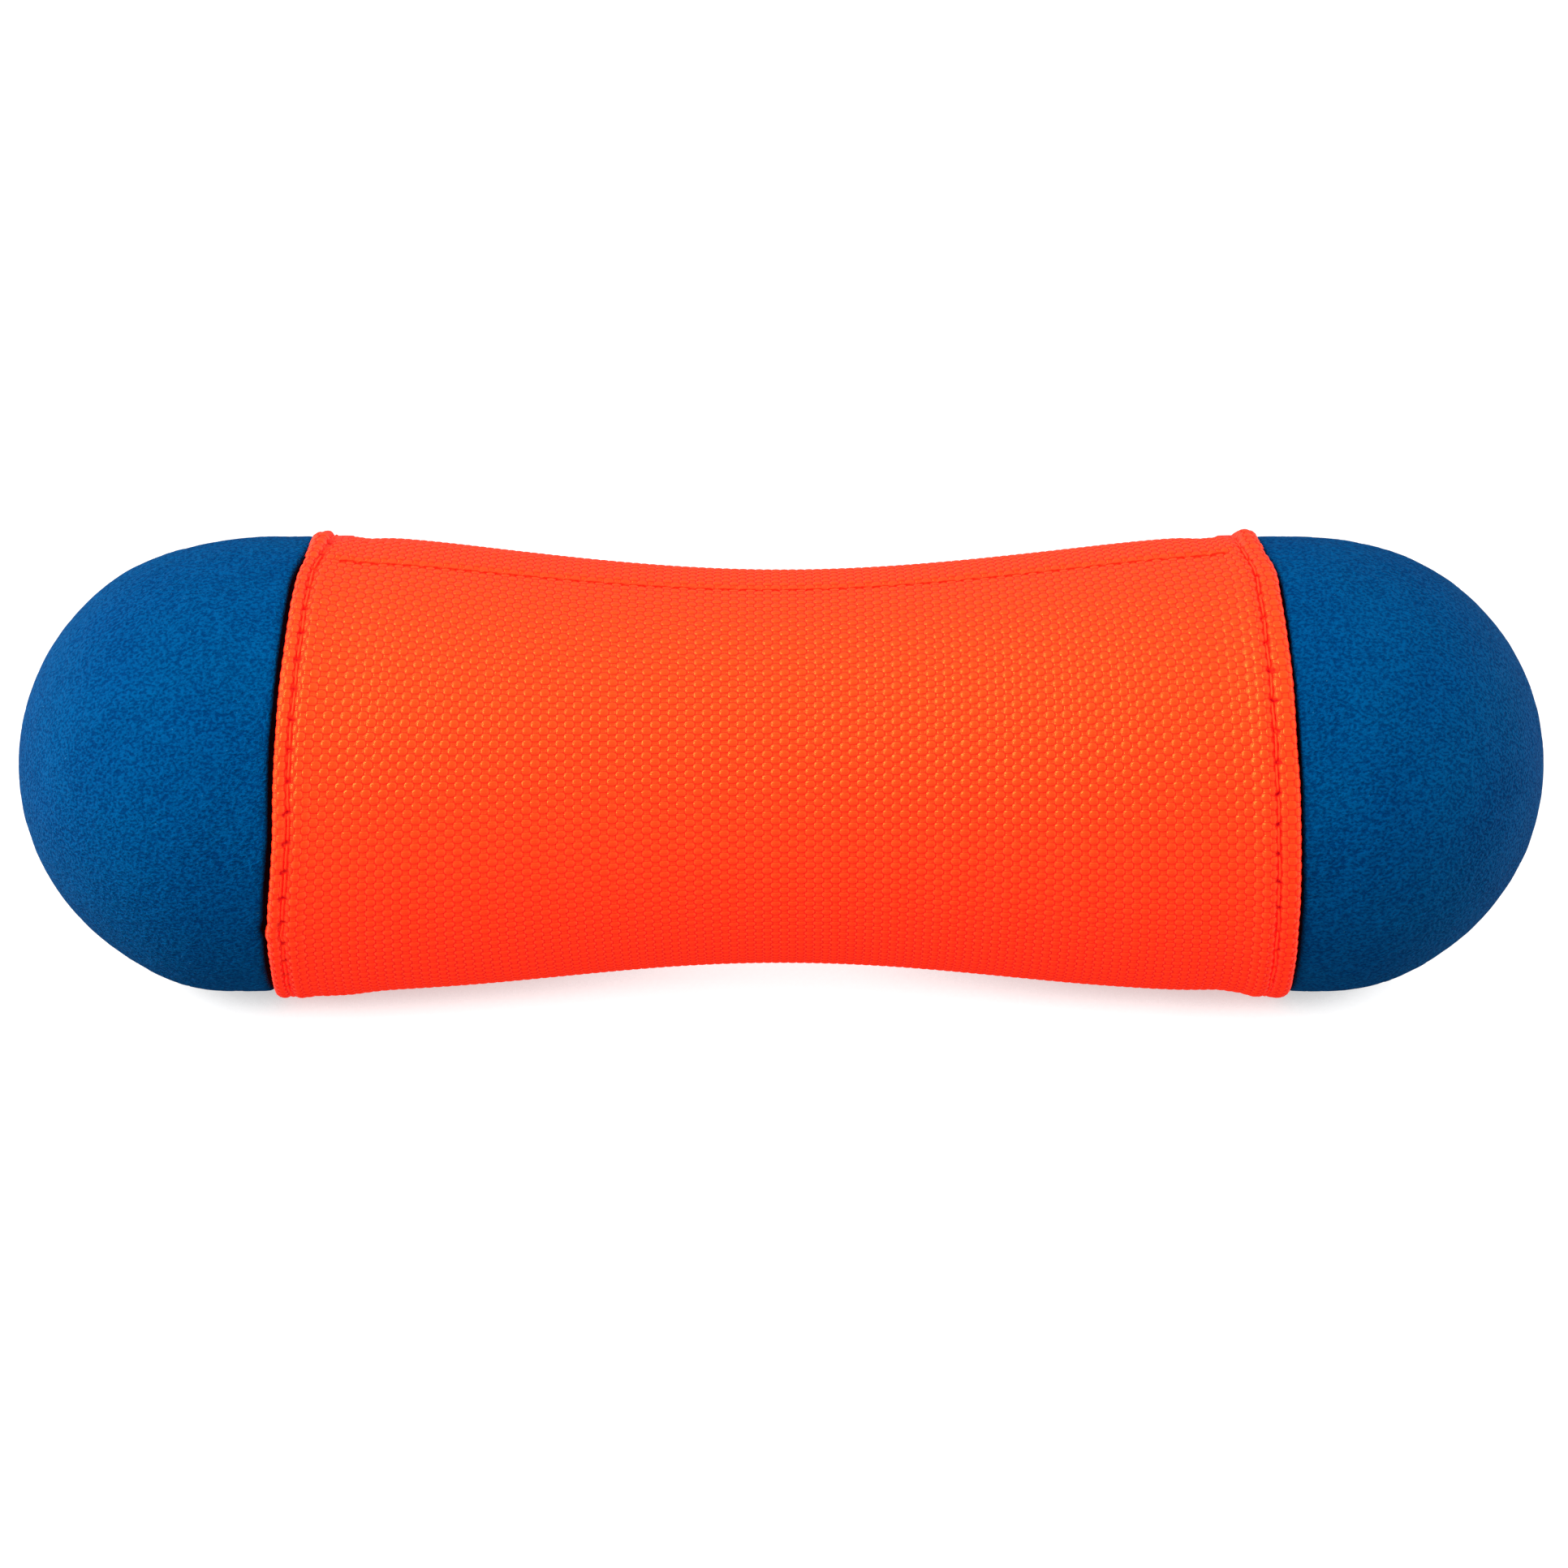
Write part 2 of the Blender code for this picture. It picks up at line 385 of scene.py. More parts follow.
def weave_fields(nodes):
    """u, v and the weave's checker: above 0 on the yarns that run along the bumper."""
    uv = nodes.add("ShaderNodeUVMap", {"uv_map": "weave"}).outputs[0]
    u, v = nodes.split(uv)[:2]
    waves = []
    for value in (u, v):
        turn = nodes.math("MULTIPLY", nodes.math("SUBTRACT", value, 0.5), math.pi)
        waves.append(nodes.math("COSINE", turn))
    return u, v, nodes.math("MULTIPLY", *waves)


def nylon_material():
    """Glossy yarns with painted shade in the creases between the beads and at the stitches,
    and a painted glow that keeps their red bright in shade; duller where they are pinched
    or seen at a slant.
    """
    across, along = (0.98, 0.055, 0.005, 1.0), (1.0, 0.069, 0.006, 1.0)
    # Painted shade: the darker colours for the creases between the beads, and for the
    # needle holes and stitch lines.
    faded, crease_shade = (1.0, 0.063, 0.006, 1.0), (0.78, 0.011, 0.004, 1.0)
    hole, hole_glow = (0.45, 0.003, 0.008, 1.0), (0.34, 0.0, 0.006, 1.0)
    # Painted glow: these emission colours, and the hole's glow above, make the cloth shine
    # by itself so that its red stays bright in shade.
    yarn_glow, crease_shade_glow = (1.0, 0.010, 0.012, 1.0), (0.80, 0.003, 0.008, 1.0)
    gloss, least_gloss = 0.75, 0.05
    strand_turns = 18.0

    nodes = Nodes(bpy.data.materials.new("woven_nylon"))
    u, v, checker = weave_fields(nodes)
    # A mask of the creases between the beads, where the colour paints shade; it also sets
    # their bump and roughness.
    line = nodes.ramp(nodes.math("ABSOLUTE", nodes.math("ADD", checker, 0.1)), 0.0, 0.34)
    over = nodes.ramp(checker, -0.2, 0.0)
    # The mask of painted shade and duller cloth at the stitches.
    pinch = nodes.attribute("pinch")
    patches = nodes.ramp(nodes.noise(24.0, 3.0), 0.3, 0.7)
    yarn = nodes.mix(patches, nodes.mix(over, across, along), faded)
    color = nodes.mix(pinch, nodes.mix(line, crease_shade, yarn), hole)
    # Painted glow, dimmer in the painted creases and holes.
    glow = nodes.mix(pinch, nodes.mix(line, crease_shade_glow, yarn_glow), hole_glow)
    strands = []
    for value in (u, v):
        turn = nodes.math("MULTIPLY", value, strand_turns)
        strands.append(nodes.math("SINE", turn))
    normal = nodes.bump(nodes.mix(over, *strands), 0.012 * MM, 0.5)
    normal = nodes.bump(line, 0.05 * MM, 0.5, normal)
    facing = nodes.add("ShaderNodeLayerWeight", Blend=0.5).outputs["Facing"]
    slanted = nodes.ramp(facing, 0.3, 0.7, 0.0, 0.42)
    dull = nodes.math("MAXIMUM", pinch, slanted)
    return nodes.finish(
        Base_Color=color,
        Roughness=nodes.ramp(nodes.math("SUBTRACT", line, pinch), 0.0, 1.0, 0.6, 0.24),
        Specular_IOR_Level=nodes.ramp(dull, 0.0, 0.6, gloss, least_gloss),
        Specular_Tint=(1.0, 0.62, 0.10, 1.0),
        Normal=normal,
        Emission_Color=glow,
        Emission_Strength=0.61,
    )


def foam_material():
    """Satin blue skin with fine slanted wrinkles, painted shade in their creases, painted
    pale glints, and painted shade near black in the groove.
    """
    high = (0.0, 0.096, 0.306, 1.0), (0.0, 0.109, 0.326, 1.0)
    low = (0.0, 0.045, 0.178, 1.0), (0.0, 0.054, 0.196, 1.0)
    painted_glint, groove_shade = (0.05, 0.28, 0.50, 1.0), (0.012, 0.004, 0.014, 1.0)

    nodes = Nodes(bpy.data.materials.new("foam_skin"))
    slanted = nodes.add("ShaderNodeMapping", Vector=nodes.place())
    slanted.inputs["Rotation"].default_value = (0.0, math.radians(48.0), 0.0)
    slanted.inputs["Scale"].default_value = (0.72, 1.0, 1.0)
    wrinkles = nodes.noise(2250.0, 2.0, slanted.outputs[0], 0.55)
    ridge = nodes.ramp(wrinkles, 0.36, 0.62)
    patches = nodes.ramp(nodes.noise(150.0, 2.0), 0.35, 0.65, 0.7, 1.0)
    cloud = nodes.ramp(nodes.noise(60.0, 3.0), 0.3, 0.7)
    # Painted glints: pale specks in the colour.
    glint_speck = nodes.ramp(nodes.noise(2400.0, 0.0), 0.86, 0.90)
    # Painted shade: the wrinkles' creases take the darker colours and their ridges the
    # lighter ones.
    color = nodes.mix(ridge, nodes.mix(cloud, *low), nodes.mix(cloud, *high))
    color = nodes.mix(nodes.math("MULTIPLY", glint_speck, 0.5), color, painted_glint)
    # Painted shade: near black in the groove beside each hem.
    color = nodes.mix(nodes.attribute("groove"), color, groove_shade)
    normal = nodes.bump(nodes.math("MULTIPLY", wrinkles, patches), 0.56 * MM, 1.0)
    return nodes.finish(
        Base_Color=color,
        Roughness=nodes.ramp(ridge, 0.0, 1.0, 0.74, 0.62),
        Specular_IOR_Level=0.03,
        Specular_Tint=(0.0, 0.42, 1.0, 1.0),
        Normal=normal,
    )


def thread_material():
    """Orange thread, a little fuzzy, with a painted glow that keeps its red bright in
    shade.
    """
    dark, light = (0.92, 0.040, 0.010, 1.0), (1.0, 0.075, 0.016, 1.0)
    nodes = Nodes(bpy.data.materials.new("sewing_thread"))
    fuzz = nodes.noise(3000.0, 2.0)
    return nodes.finish(
        Base_Color=nodes.mix(fuzz, dark, light),
        Roughness=nodes.ramp(fuzz, 0.3, 0.7, 0.42, 0.6),
        Specular_Tint=(1.0, 0.70, 0.18, 1.0),
        Normal=nodes.bump(fuzz, 0.02 * MM, 0.5),
        # Painted glow: the thread shines by itself.
        Emission_Color=(1.0, 0.004, 0.003, 1.0),
        Emission_Strength=0.5,
    )


def floor_material():
    """Pale paper that shines by itself, and less so close to the bumper."""
    nodes = Nodes(bpy.data.materials.new("floor_paper"))
    tone = nodes.mix(nodes.noise(3.0), (0.20, 0.20, 0.20, 1.0), (0.22, 0.22, 0.22, 1.0))
    near = nodes.add("ShaderNodeAmbientOcclusion", {"samples": 16}, Distance=SHADOW_REACH)
    return nodes.finish(
        Base_Color=tone,
        Roughness=0.9,
        Specular_IOR_Level=0.0,
        Emission_Color=(1.0, 1.0, 1.0, 1.0),
        Emission_Strength=nodes.ramp(near.outputs["AO"], 0.0, OPEN_SKY, *FLOOR_LIGHT),
    )


# The sleeve


def body_radius(x):
    """The sleeve's radius between its hems."""
    reach = np.where(x > 0, HEM_EDGE[1], HEM_EDGE[-1])
    swell = 0.5 - 0.5 * np.cos(math.pi * np.minimum(1.0, np.abs(x) / reach))
    return WAIST_RADIUS + (SLEEVE_RADIUS - WAIST_RADIUS) * swell


def hem_points(side):
    """A hem's cut line, from the turned-in end round the fold: (inset, radius) in mm."""
    s = STITCH_INSET[side] / MM
    return [
        (6.6, 37.70), (4.0, 37.70), (1.6, 37.62), (0.5, 37.64), (-0.05, 37.95),
        (-0.1, 38.45), (0.25, 38.95), (1.0, 39.18), (s - 0.8, 39.05), (s - 0.25, 38.72),
        (s + 0.25, 38.72), (s + 0.9, 39.02), (s + 1.8, 38.98), (s + 2.8, 38.75),
        (s + 4.0, 38.42), (s + 5.4, 38.30),
    ]


def cloth_profile():
    """The cloth's middle line from the left turned-in end to the right one."""
    ends = {}
    for side in (-1, 1):
        rows = [(HEM_EDGE[side] - inset * MM, r * MM) for inset, r in hem_points(side)]
        ends[side] = np.array([(side * x, r) for x, r in rows])
    inner = [ends[side][-1][0] for side in (-1, 1)]
    x = np.linspace(inner[0] + 2 * MM, inner[1] - 2 * MM, 60)
    middle = np.stack([x, body_radius(x)], axis=1)
    return chaikin(np.concatenate([ends[-1], middle, ends[1][::-1]]), 3)


def yarn_relief(u, v):
    """The height of a plain weave's surface, in mm, at places counted in yarns."""
    none = -9.0
    best = np.full(np.broadcast(u, v).shape, none)
    for step in (-1, 0, 1):
        # a yarn along the bumper, with a steep rise to each bead
        j = np.floor(v) + step
        wave = np.cos(math.pi * (u - 0.5 - j))
        lift = 0.20 * np.sign(wave) * np.abs(wave) ** 0.5
        wide = 0.54 + 0.04 * wave
        across = np.clip(1.0 - ((v - j - 0.5) / wide) ** 2, 0.0, 1.0)
        best = np.maximum(best, np.where(across > 0, lift + 0.20 * np.sqrt(across), none))
        # a yarn around it, flatter and lower
        i = np.floor(u) + step
        lift = -0.05 * np.cos(math.pi * (v - 0.5 - i))
        across = np.clip(1.0 - ((u - i - 0.5) / 0.54) ** 2, 0.0, 1.0)
        best = np.maximum(best, np.where(across > 0, lift + 0.15 * np.sqrt(across), none))
    return np.maximum(best, -0.18) - 0.26


def seam_angle(x):
    return SEAM_ANGLE + SEAM_TWIST * x


def hem_holes():
    """The angles of a hem's needle holes."""
    return FIRST_HOLE + HEM_STEP * np.arange(HEM_STITCHES)


def backtack_holes(side):
    """The angles of the few needle holes sewn twice, where a hem's stitching was locked."""
    first, count = BACKTACKS[side]
    return (2.0 * math.pi + first + HEM_STEP * np.arange(count)) % (2.0 * math.pi)


def nearest(angle, holes):
    """How far each angle is from the nearest hole, as a length around a hem."""
    gap = np.abs(turned(angle[:, None] - holes[None, :]))
    return gap.min(axis=1) * HEM_RADIUS


def ear_height(side, inset, back):
    """How far the cloth rises at a hem's ear, and sinks next to it and behind it."""
    end = EAR_END[side]
    ear = 1.0 - smooth(inset, end - EAR_EDGE, end + EAR_EDGE)
    ear = ear - EAR_SLOPE[side] * hump(inset, *EAR_SLOPE_AT)
    sunk = HOLLOW * hump(inset, end + HOLLOW_AT[0], HOLLOW_AT[1])
    sunk = sunk + BEHIND_EAR[side] * hump(inset, *BEHIND_EAR_AT)
    low = LOW_BULGE[side] * hump(inset, *LOW_BULGE_AT) * hump(back, *LOW_BULGE_ACROSS)
    rise = EAR_RISE * ear * hump(back, *EAR_ACROSS)
    return rise + low - sunk * hump(back, *HOLLOW_ACROSS)


def seam_shape(x, back, outer):
    """The long seam's height, and its pinch, a mask of painted shade and duller cloth: a
    line of stitches, then a second layer.
    """
    on_seam = smooth(-np.abs(x), -SEAM_HALF - 2 * MM, -SEAM_HALF)[:, None] * outer
    dashes = np.cos(2.0 * math.pi * (x / SEAM_STITCH))[:, None]
    lap = LAP_RISE * smooth(back, 0.2 * MM, 1.3 * MM)
    lap *= 1.0 - smooth(back, LAP_WIDTH - 0.35 * MM, LAP_WIDTH + 0.1 * MM)
    dent = (0.24 + 0.08 * dashes) * MM * hump(back, 0.0, 0.55 * MM)
    ledge = 0.12 * MM * hump(back, LAP_WIDTH + 0.35 * MM, 0.35 * MM)
    # Painted shade: the pinch mask darkens the cloth along the seam's stitches.
    pinch = hump(back, 0.0, 0.35 * MM) * (0.22 + 0.22 * dashes) * on_seam
    return (lap - ledge) * outer - dent * on_seam, pinch


def hem_shape(side, x, angle, back, outer):
    """A hem's height, and its pinch, a mask of painted shade and duller cloth: drawn in at
    each needle hole, and its ear.
    """
    inset = HEM_EDGE[side] - side * x
    near = nearest(angle, hem_holes())
    near_twice = nearest(angle, backtack_holes(side))
    line = hump(inset, STITCH_INSET[side], 0.5 * MM)[:, None] * outer
    dent = line * (0.16 + 0.34 * hump(near, 0.0, 0.5 * MM))[None, :] * MM
    # Painted shade: the pinch mask darkens the cloth at each needle hole, at the backtacks
    # and along the stitch line.
    hole = hump(inset, STITCH_INSET[side], 0.55 * MM)[:, None]
    hole = hole * hump(near, 0.0, 0.50 * MM)[None, :] * outer
    second = hump(inset, STITCH_INSET[side] - BACKTACK_SHIFT, 0.36 * MM)[:, None]
    second = second * hump(near_twice, 0.0, 0.42 * MM)[None, :] * outer
    pinch = np.maximum(np.maximum(hole, second), 0.45 * line)
    circle = np.stack([np.cos(angle) * 6, np.sin(angle) * 6, 0 * angle + side], -1)
    wave = 0.12 * MM * noise(circle, HEM_SEED)[None, :]
    wave = wave * smooth(-inset, -7 * MM, -3 * MM)[:, None]
    return wave - dent + ear_height(side, inset[:, None], back) * outer, pinch


def lining_rings(at, end):
    """The cloth's back keeps every third ring near the hems, and few between them."""
    near_hem = np.minimum(at, end - at) < 14 * MM
    rings = [i for i in range(1, len(at) - 1) if i % (3 if near_hem[i] else 20) == 0]
    return np.array(rings[::-1])


def weave_uvs(u_rows, v):
    """Each quad's corners, as places counted in yarns along and around the cloth."""
    v_columns = np.concatenate([v, [v[0] + AXIAL_YARNS]])
    i, j = np.meshgrid(np.arange(len(u_rows) - 1), np.arange(len(v)), indexing="ij")
    corners = ((i, j), (i + 1, j), (i + 1, j + 1), (i, j + 1))
    uvs = [np.stack([u_rows[ring], v_columns[column]], -1) for ring, column in corners]
    return np.stack(uvs, axis=2).reshape(-1, 4, 2)


def build_sleeve():
    profile = cloth_profile()
    end = arc_lengths(profile)[-1]
    cells = round(end / RING_PITCH)
    u = (np.arange(cells)[:, None] + np.array(SAMPLES_U)).ravel()
    v = (np.arange(AXIAL_YARNS)[:, None] + np.array(SAMPLES_V)).ravel()
    at = u / cells * end
    x, radius, slope = follow(profile, at)
    out_x, out_r = -slope[:, 1], slope[:, 0]
    angle = v / AXIAL_YARNS * 2.0 * math.pi
    # the distance along the cloth from the long seam's stitches, towards the back
    back = turned(angle)[None, :] * radius[:, None]
    outer = (out_r > 0.2).astype(float)[:, None]

    height, pinch = seam_shape(x, back, outer)
    for side in (-1, 1):
        hem_height, hem_pinch = hem_shape(side, x, angle, back, outer)
        height = height + hem_height
        pinch = np.maximum(pinch, hem_pinch)
    flat = smooth(np.minimum(x + HEM_EDGE[-1], HEM_EDGE[1] - x), 2.0 * MM, 3.6 * MM)
    relief = yarn_relief(u[:, None], v[None, :]) * MM * (0.62 + 0.38 * flat[:, None])

    # the yarns along the bumper bulge outwards over their neighbours
    bow_u = -np.cos(math.pi * u)[:, None] * np.sin(math.pi * v)[None, :]
    bow_v = -np.sin(math.pi * u)[:, None] * np.cos(math.pi * v)[None, :]
    shift_u = BEAD_GROWTH[0] * end / cells * bow_u
    turns = (v[None, :] + BEAD_GROWTH[1] * bow_v) / AXIAL_YARNS * 2.0 * math.pi
    seam = seam_angle(x)[:, None]
    cloth = wrapped(
        x[:, None] + out_x[:, None] * (height + relief) + slope[:, :1] * shift_u,
        radius[:, None] + out_r[:, None] * (height + relief) + slope[:, 1:] * shift_u,
        turns + seam,
    )
    rings = lining_rings(at, end)
    lining = wrapped(
        (x[:, None] + out_x[:, None] * (height - CLOTH_BACK))[rings],
        (radius[:, None] + out_r[:, None] * (height - CLOTH_BACK))[rings],
        angle[None, :] + seam[rings],
    )

    rows = np.concatenate([cloth, lining])
    total, sides = rows.shape[:2]
    j = np.arange(sides)
    k = (j + 1) % sides
    last = (total - 1) * sides
    closing = np.stack([last + j, j, k, last + k], axis=-1)
    quads = np.concatenate([ring_quads(total, sides), closing])
    uvs = weave_uvs(np.concatenate([u, u[rings], [u[0]]]), v)
    # The pinch mask, which paints shade at the stitches; none on the cloth's back.
    shade = np.concatenate([pinch, np.zeros(lining.shape[:2])])
    points = rested(rows.reshape(-1, 3))
    return make_mesh(
        "sleeve_cloth", points, quads[:, ::-1], uvs[:, ::-1], [("pinch", shade)]
    )


# The foam


def foam_profile():
    """The foam's cut line from the left tip to the right one."""
    ends = {}
    for side in (-1, 1):
        edge = HEM_EDGE[side]
        wall = edge + GROOVE[side]
        turns = np.linspace(0.0, 0.5 * math.pi, 40)
        cap = [(END_CENTRE + RADIUS * math.cos(a), RADIUS * math.sin(a)) for a in turns]
        rim = [
            (wall + 1.7 * MM, RADIUS), (wall + 0.8 * MM, RADIUS - 0.05 * MM),
            (wall + 0.25 * MM, RADIUS - 0.25 * MM), (wall, RADIUS - 0.9 * MM),
            (wall - 0.1 * MM, 36.5 * MM), (edge - 0.6 * MM, 36.3 * MM),
            (edge - 8.0 * MM, 36.8 * MM),
        ]
        ends[side] = np.array([(side * x, r) for x, r in cap + rim])
    x = np.linspace(ends[-1][-1][0] + 4 * MM, ends[1][-1][0] - 4 * MM, 30)
    middle = np.stack([x, body_radius(x) - 1.25 * MM], axis=1)
    return chaikin(np.concatenate([ends[-1], middle, ends[1][::-1]]), 2)


def foam_grain(p, tips):
    """The foam skin's height in mm, at points in mm: worm-like creases on soft swells.

    The creases follow the zero lines of a stretched and warped noise.
    """
    warp = np.stack([noise(p / 5.0, seed) for seed in WARP_SEEDS], axis=-1)
    q = p + 1.1 * warp
    q = q - 0.45 * (q @ GRAIN_ALONG)[..., None] * GRAIN_ALONG
    fold = noise(q / 0.95, FOLD_SEEDS[0]) + 0.4 * noise(q / 0.6, FOLD_SEEDS[1])
    crease = hump(fold, 0.0, 0.30)
    patch = 0.5 + 0.5 * noise(p / 7.0, PATCH_SEED)
    swell = 0.05 * noise(p / 2.6, SWELL_SEEDS[0]) + 0.08 * noise(p / 14.0, SWELL_SEEDS[1])
    return swell - 0.12 * crease * (0.45 + 0.75 * patch) * tips


def build_foam():
    profile = foam_profile()
    end = arc_lengths(profile)[-1]
    # fine rings where the foam shows, and wide ones under the sleeve
    shown = 0.5 * math.pi * RADIUS + 10 * MM
    start = np.linspace(0.0, shown, round(shown / FOAM_RING))
    hidden = np.linspace(shown, end - shown, HIDDEN_RINGS)[1:-1]
    at = np.concatenate([start, hidden, end - start[::-1]])
    x, radius, slope = follow(profile, at)
    tips = [[x[0], 0.0, AXIS_Z], [x[-1], 0.0, AXIS_Z]]
    x, radius, slope = x[1:-1, None], radius[1:-1, None], slope[1:-1]
    out_x, out_r = -slope[:, 1:], slope[:, :1]
    angle = (np.arange(FOAM_SIDES) / FOAM_SIDES * 2.0 * math.pi)[None, :]

    base = wrapped(x + 0 * angle, radius, angle)
    calm = 1.0 - 0.6 * smooth(np.abs(base[..., 0]), 100 * MM, 122 * MM)
    height = foam_grain(base / MM, calm) * MM
    # A mask of painted shade, near black, in the groove beside each hem.
    deep = smooth((RADIUS - radius) / MM, 0.35, 1.1) * (np.abs(x) < 85 * MM)
    deep = np.broadcast_to(deep, height.shape)
    rows = wrapped(x + out_x * height, radius + out_r * height, angle)
    obj = make_mesh(
        "foam_body",
        np.concatenate([rows.reshape(-1, 3), tips]),
        ring_quads(len(rows), FOAM_SIDES)[:, ::-1],
        attributes=[("groove", np.concatenate([deep.ravel(), [0.0, 0.0]]))],
    )
    close_tips(obj, len(rows), FOAM_SIDES)
    return obj


def close_tips(obj, rings, sides):
    """Adds the fans of triangles at the two tips, whose points come last."""
    bm = bmesh.new()
    bm.from_mesh(obj.data)
    bm.verts.ensure_lookup_table()
    first = rings * sides
    for tip, ring, flip in ((first, 0, False), (first + 1, rings - 1, True)):
        for j in range(sides):
            a = bm.verts[ring * sides + j]
            b = bm.verts[ring * sides + (j + 1) % sides]
            corners = (bm.verts[tip], a, b) if flip else (bm.verts[tip], b, a)
            bm.faces.new(corners).smooth = True
    bm.to_mesh(obj.data)
    bm.free()


# Stitches


def tube(path):
    """A two-ply thread along a path, thinner at both ends."""
    tangent = np.gradient(path, axis=0)
    tangent /= np.linalg.norm(tangent, axis=1)[:, None]
    up = path - np.array([0.0, 0.0, AXIS_Z])
    up[:, 0] = 0.0
    side = np.cross(tangent, up)
    side /= np.linalg.norm(side, axis=1)[:, None]
    normal = np.cross(side, tangent)
    phi = np.arange(THREAD_SIDES) / THREAD_SIDES * 2.0 * math.pi
    twist = 2.0 * math.pi / PLY_TURN * arc_lengths(path)
    lobes = 1.0 + 0.16 * np.cos(2.0 * phi[None, :] - twist[:, None])
    taper = np.ones(len(path))
    taper[[0, -1]] = 0.3
    size = THREAD_RADIUS * lobes * taper[:, None]
    ring = np.cos(phi)[None, :, None] * side[:, None, :]
    ring = ring + np.sin(phi)[None, :, None] * normal[:, None, :]
    points = path[:, None, :] + ring * size[:, :, None]
    return points.reshape(-1, 3), ring_quads(len(path), THREAD_SIDES)


def stitches(name, starts, ends, place, inside, rows):
    """One thread's stitches, each from one hole to the next, dipping into both."""
    points, quads, first = [], [], 0
    t = np.linspace(0.0, 1.0, THREAD_STEPS)
    dip = np.minimum(1.0, np.minimum(t, 1.0 - t) / 0.14)
    dip = (1.0 - np.sin(0.5 * math.pi * dip)) * (-1.0 if inside else 1.0)
    around = np.arange(THREAD_SIDES)
    for start, end, row in zip(starts, ends, rows):
        made, faces = tube(place(start + (end - start) * t, dip, row))
        last = len(made) - THREAD_SIDES
        caps = [ring[CAP_QUADS] for ring in (around, around[::-1] + last)]
        points.append(made)
        quads += [part + first for part in (faces, *caps)]
        first += len(made)
    return make_mesh(name, rested(np.concatenate(points)), np.concatenate(quads))


def hem_stitches(side, inside):
    """The needle's or the bobbin's stitches around one hem."""
    x = side * (HEM_EDGE[side] - STITCH_INSET[side])
    gap = 0.30 * MM / HEM_RADIUS
    base = 37.25 * MM if inside else 38.80 * MM
    starts = hem_holes()
    rows = np.zeros(len(starts))
    if not inside:
        twice = backtack_holes(side)[:-1]
        starts = np.concatenate([starts, twice])
        rows = np.concatenate([rows, np.full(len(twice), side * BACKTACK_SHIFT)])

    def place(angle, dip, row):
        wobble = 0.08 * MM * np.sin(angle * 23.0)
        back = turned(angle) * HEM_RADIUS
        rise = ear_height(side, STITCH_INSET[side] - side * row, back)
        radius = base + rise - 0.55 * MM * dip
        return wrapped(x + row + wobble, radius, angle + seam_angle(x))

    name = f"{SIDE_NAMES[side]}_hem_{THREAD_NAMES[inside]}_stitches"
    return stitches(name, starts + gap, starts + HEM_STEP - gap, place, inside, rows)


def seam_stitches(inside):
    """The needle's or the bobbin's stitches along the long seam."""
    count = round(2 * SEAM_HALF / SEAM_STITCH)
    half = count * SEAM_STITCH / 2
    holes = np.linspace(-half, half, count + 1)
    gap = 0.22 * MM
    depth = 1.0 * MM if inside else 0.0

    def place(x, dip, _row):
        base = body_radius(x) + 0.3 * MM * smooth(np.abs(x), 69 * MM, 75 * MM)
        return wrapped(x, base - depth - 0.5 * MM * dip, seam_angle(x))

    name = f"long_seam_{THREAD_NAMES[inside]}_stitches"
    return stitches(name, holes[:-1] + gap, holes[1:] - gap, place, inside, np.zeros(count))


# Stage


def area_light(name, position, size, power):
    """A lamp that faces the middle of the bumper."""
    light = bpy.data.lights.new(name, "AREA")
    light.shape = "RECTANGLE"
    light.size, light.size_y = size
    light.energy = power
    obj = bpy.data.objects.new(name, light)
    obj.location = position
    facing = Vector((0.0, 0.0, AXIS_Z)) - Vector(position)
    obj.rotation_euler = facing.to_track_quat("-Z", "Y").to_euler()
    bpy.context.scene.collection.objects.link(obj)


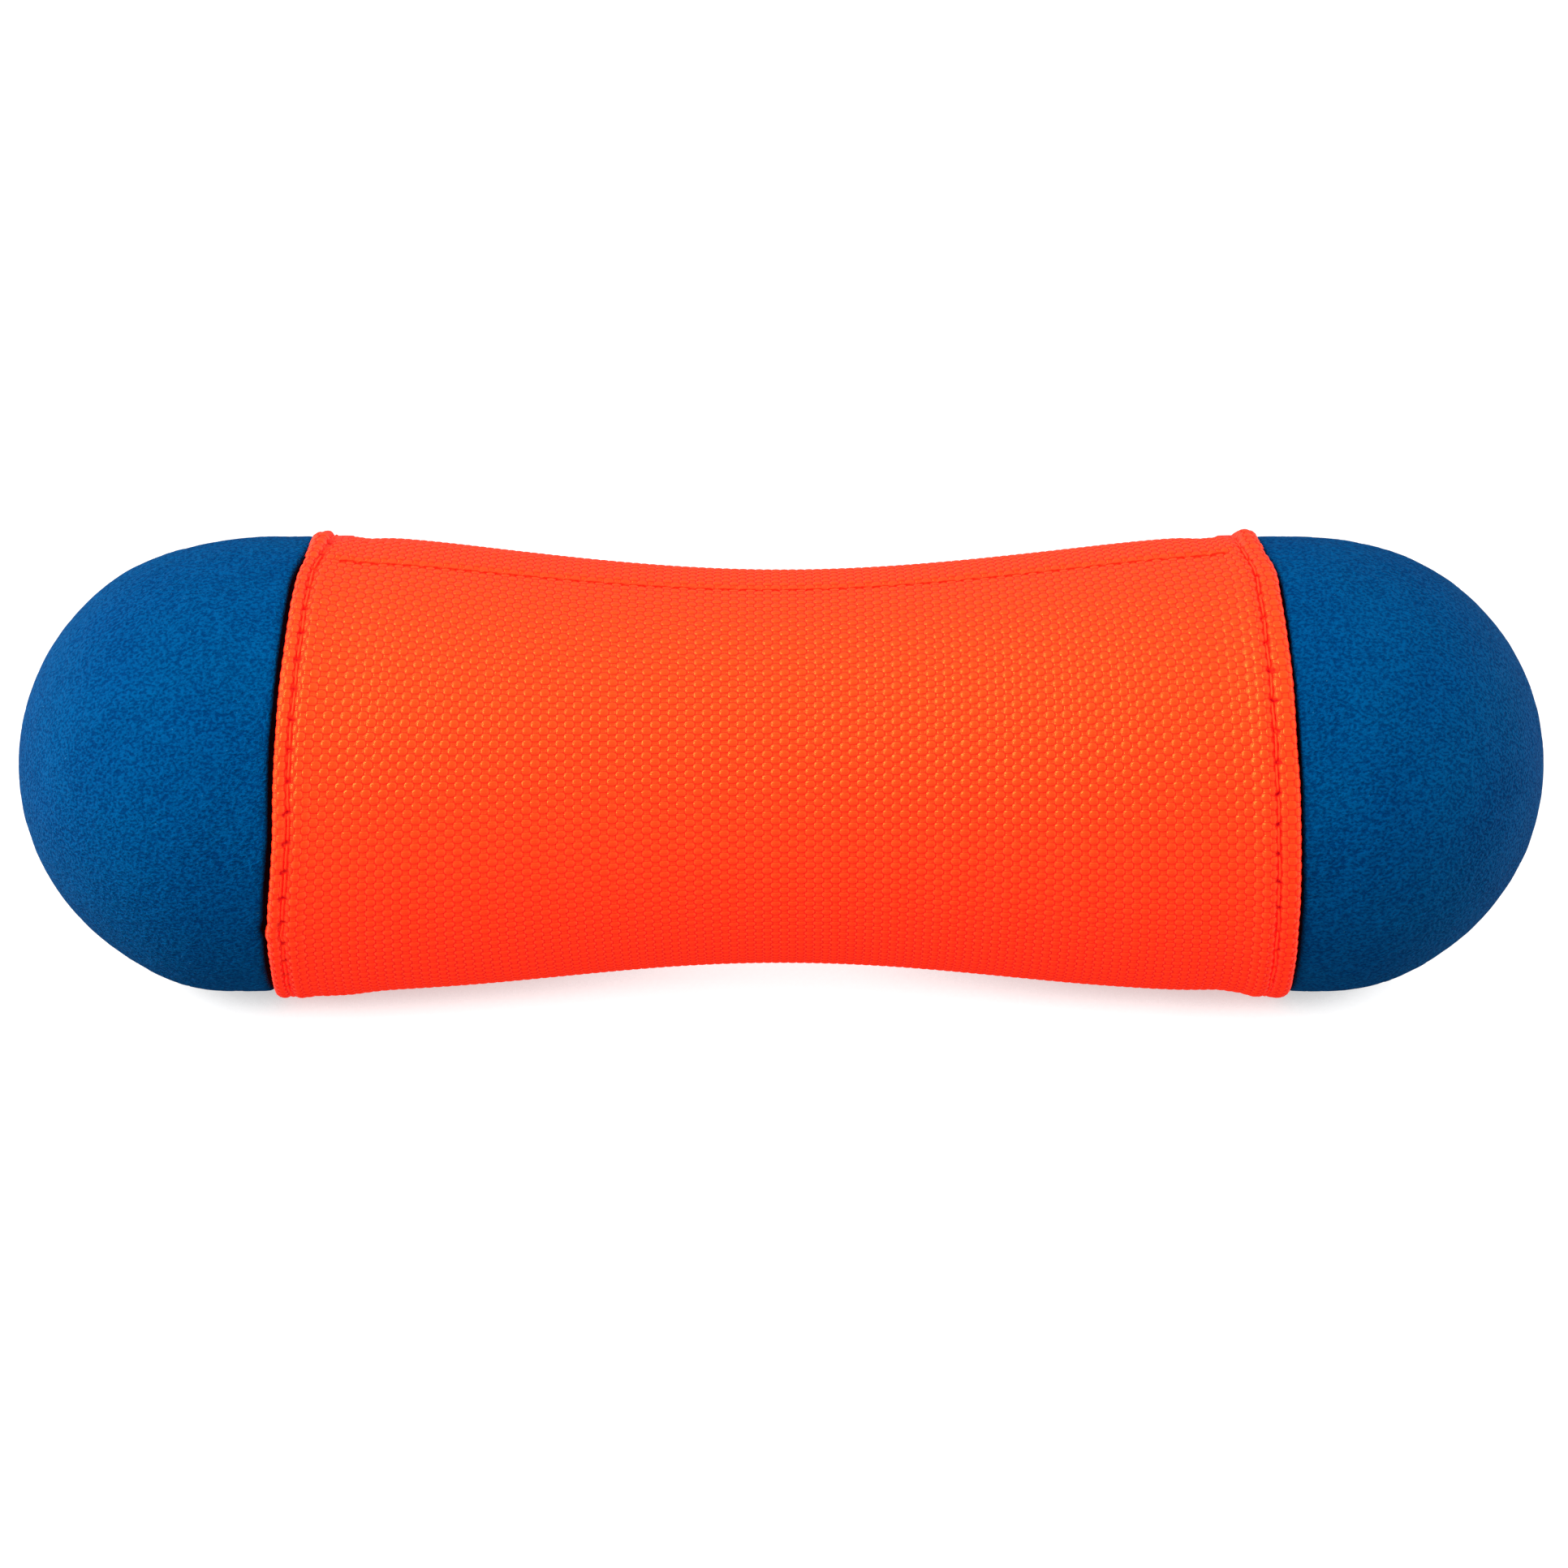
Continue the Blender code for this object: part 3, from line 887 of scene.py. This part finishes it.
def build_world():
    """White walls: brighter at both ends than in front, and brighter above than below."""
    world = bpy.data.worlds.new("studio")
    bpy.context.scene.world = world
    nodes = Nodes(world)
    background = nodes.tree.nodes["Background"]
    background.inputs["Color"].default_value = (1.0, 1.0, 1.0, 1.0)
    x, _, z = nodes.split(nodes.add("ShaderNodeTexCoord").outputs["Generated"])
    ends = nodes.math("MULTIPLY", nodes.math("MULTIPLY", x, x), WALL_ENDS)
    tilt_x = nodes.math("MULTIPLY", x, WALL_X)
    tilt_z = nodes.math("MULTIPLY", z, WALL_Z)
    total = nodes.math("ADD", ends, nodes.math("ADD", tilt_x, tilt_z))
    total = nodes.math("ADD", total, WALL_BASE)
    nodes.put(nodes.math("MAXIMUM", total, WALL_LEAST), background.inputs["Strength"])


def build_stage():
    bpy.ops.mesh.primitive_plane_add(size=FLOOR_SIDE, location=(0.0, 0.0, 0.0))
    floor = bpy.context.object
    floor.name = "floor"
    floor.data.materials.append(floor_material())
    floor.visible_diffuse = False
    floor.visible_glossy = False
    floor.visible_shadow = False

    build_world()
    for lamp in LAMPS:
        area_light(*lamp)


def build_camera():
    """A long lens, above the horizon and square to the bumper."""
    camera = bpy.data.cameras.new("camera")
    camera.sensor_width = CAMERA_SENSOR
    camera.lens = CAMERA_LENS
    camera.shift_x, camera.shift_y = (shift / IMAGE_SIDE for shift in CAMERA_SHIFT)
    obj = bpy.data.objects.new("camera", camera)
    back = Vector((0.0, -math.cos(CAMERA_ELEVATION), math.sin(CAMERA_ELEVATION)))
    obj.location = Vector((0.0, 0.0, AXIS_Z)) + back * CAMERA_DISTANCE
    obj.rotation_euler = (-back).to_track_quat("-Z", "Y").to_euler()
    bpy.context.scene.collection.objects.link(obj)
    bpy.context.scene.camera = obj


def main():
    bpy.context.scene.view_settings.view_transform = "Standard"
    build_camera()
    build_stage()

    foam = build_foam()
    foam.data.materials.append(foam_material())
    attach(foam, "root")
    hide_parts("foam_core")

    thread = thread_material()
    threads = []
    for side, inside in itertools.product((-1, 1), (False, True)):
        made = hem_stitches(side, inside)
        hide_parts(f"{SIDE_NAMES[side]}_hem_{THREAD_NAMES[inside]}_thread")
        threads.append(made)
    for inside in (False, True):
        made = seam_stitches(inside)
        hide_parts(f"long_seam_{THREAD_NAMES[inside]}_thread")
        threads.append(made)
    for made in threads:
        made.data.materials.append(thread)
        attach(made, "root")

    sleeve = build_sleeve()
    sleeve.data.materials.append(nylon_material())
    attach(sleeve, "root")
    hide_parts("sleeve")


main()
